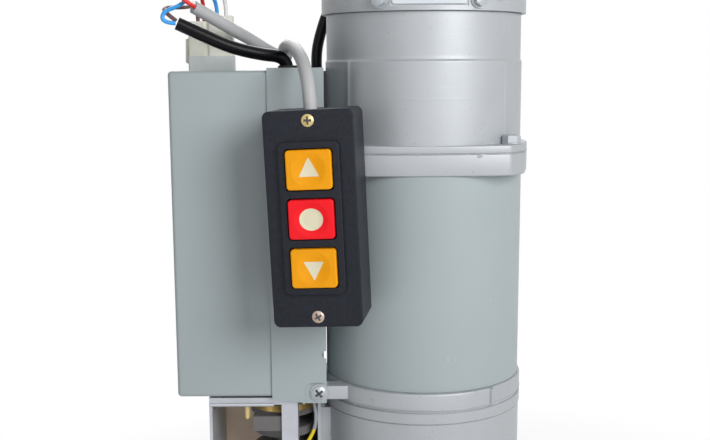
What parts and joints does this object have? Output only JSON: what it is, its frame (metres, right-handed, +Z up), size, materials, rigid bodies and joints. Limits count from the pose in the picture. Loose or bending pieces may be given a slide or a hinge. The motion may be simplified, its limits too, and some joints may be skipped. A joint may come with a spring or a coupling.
{
  "type": "roller shutter motor",
  "caption": "Upright roller-shutter motor with gear case, spring brake, hand-chain wheel, side control box, limit unit and a corded push-button station.",
  "frame": {"origin": "centre of the four mounting holes, on the mounting face of the gear case", "axes": "+Z up the motor axis towards the brake, -Y the front of the motor, -X the control box side"},
  "size_m": [0.2384, 0.1863, 0.4419],
  "materials": {
    "cast_silver": "sand-cast aluminium, silver grey",
    "grey_paint": "satin grey-green paint",
    "bright_zinc": "bright zinc plated steel",
    "frame_steel": "zinc plated sheet steel",
    "machined_steel": "turned steel",
    "lamination": "stacked electrical sheet",
    "copper_winding": "varnished copper wire",
    "magnet_body": "blackened iron",
    "brake_lining": "moulded friction lining",
    "chain_wheel_paint": "cast iron, grey",
    "seal_rubber": "black nitrile rubber",
    "limit_grey": "grey moulded plastic",
    "switch_plastic": "black phenolic",
    "capacitor_can": "white plastic can",
    "nylon": "natural nylon",
    "station_black": "blue-black moulded plastic",
    "button_orange": "orange moulded plastic",
    "button_red": "red moulded plastic",
    "cable_black": "black cable sheath",
    "cable_grey": "grey cable sheath",
    "core_blue": "blue wire insulation",
    "core_brown": "brown wire insulation",
    "core_red": "red wire insulation",
    "core_white": "white wire insulation"
  },
  "bodies": {
    "frame": {"ball_bearings": "machined_steel", "blue_core": "core_blue", "box_socket": "nylon", "brake_housing": "cast_silver", "brake_lead": "cable_black", "brake_magnet": "magnet_body", "brake_springs": "machined_steel", "brown_core": "core_brown", "cable_plug": "nylon", "contact_block": "station_black", "contactors": "switch_plastic", "control_box_base": "grey_paint", "control_box_cover": "grey_paint", "gear_case": "cast_silver", "gear_plate": "cast_silver", "gear_plate_bolts": "bright_zinc", "lead_grommets": "seal_rubber", "limit_belt": "seal_rubber", "limit_frame": "frame_steel", "limit_lead": "cable_grey", "limit_switches": "switch_plastic", "lower_end_shield": "cast_silver", "mains_cable": "cable_black", "motor_tube": "grey_paint", "panel_screws": "bright_zinc", "recess_plate": "bright_zinc", "red_core": "core_red", "remote_cable": "cable_grey", "run_capacitor": "capacitor_can", "shaft_seal": "seal_rubber", "station_back": "station_black", "station_front": "station_black", "station_screws": "bright_zinc", "stator_core": "lamination", "stator_winding": "copper_winding", "terminal_block": "switch_plastic", "tie_rods": "bright_zinc", "top_cover": "cast_silver", "top_cover_bolts": "bright_zinc", "upper_end_shield": "cast_silver", "upper_flange_bolts": "bright_zinc", "white_core": "core_white"},
    "output": {"output_shaft": "machined_steel", "output_gear": "machined_steel", "output_pulley": "machined_steel", "drive_sprocket": "machined_steel"},
    "rotor": {"rotor_shaft": "machined_steel", "rotor_core": "lamination", "brake_disc": "brake_lining"},
    "counter": {"counter_gear": "machined_steel"},
    "limit_spindle": {"limit_screw": "machined_steel", "limit_disc": "limit_grey"},
    "lower_nut": {"limit_nut_lower": "limit_grey"},
    "upper_nut": {"limit_nut_upper": "limit_grey"},
    "armature": {"brake_armature": "machined_steel"},
    "hand_wheel": {"chain_wheel": "chain_wheel_paint", "chain_wheel_shaft": "machined_steel"},
    "up_key": {"up_button": "button_orange"},
    "stop_key": {"stop_button": "button_red"},
    "down_key": {"down_button": "button_orange"}
  },
  "joints": [
    {"name": "output_turn", "type": "hinge", "parent": "frame", "child": "output", "pos_m": [0, 0, 0], "axis": [0, 0, 1], "range_deg": [-720, 720]},
    {"name": "rotor_turn", "type": "hinge", "parent": "frame", "child": "rotor", "pos_m": [0, 0, 0.15], "axis": [0, 0, 1], "range_deg": [-6480, 6480]},
    {"name": "counter_turn", "type": "hinge", "parent": "frame", "child": "counter", "pos_m": [0, 0.0308, 0.04], "axis": [0, 0, 1], "range_deg": [-2160, 2160]},
    {"name": "limit_screw_turn", "type": "hinge", "parent": "frame", "child": "limit_spindle", "pos_m": [-0.095, 0, 0.04], "axis": [0, 0, 1], "range_deg": [-1048, 1048]},
    {"name": "limit_nut_lower_travel", "type": "slide", "parent": "frame", "child": "lower_nut", "axis": [0, 0, 1], "range_m": [-0.006, 0.006]},
    {"name": "limit_nut_upper_travel", "type": "slide", "parent": "frame", "child": "upper_nut", "axis": [0, 0, 1], "range_m": [-0.006, 0.006]},
    {"name": "brake_release", "type": "slide", "parent": "frame", "child": "armature", "axis": [0, 0, 1], "range_m": [0, 0.0005], "stiffness_N_per_m": 4000},
    {"name": "chain_wheel_turn", "type": "hinge", "parent": "frame", "child": "hand_wheel", "pos_m": [0, 0, 0.38], "axis": [0, 0, 1], "continuous": true},
    {"name": "up_press", "type": "slide", "parent": "frame", "child": "up_key", "axis": [0.1392, 0.9903, 0], "range_m": [0, 0.003], "stiffness_N_per_m": 400},
    {"name": "stop_press", "type": "slide", "parent": "frame", "child": "stop_key", "axis": [0.1392, 0.9903, 0], "range_m": [0, 0.003], "stiffness_N_per_m": 400},
    {"name": "down_press", "type": "slide", "parent": "frame", "child": "down_key", "axis": [0.1392, 0.9903, 0], "range_m": [0, 0.003], "stiffness_N_per_m": 400}
  ],
  "couplings": [
    {"joint": "rotor_turn", "follows": "output_turn", "ratio": 9},
    {"joint": "counter_turn", "follows": "output_turn", "ratio": -3},
    {"joint": "limit_screw_turn", "follows": "output_turn", "ratio": 1.4545},
    {"joint": "limit_nut_lower_travel", "follows": "output_turn", "m_per_rad": -0.000463},
    {"joint": "limit_nut_upper_travel", "follows": "output_turn", "m_per_rad": -0.000463}
  ]
}
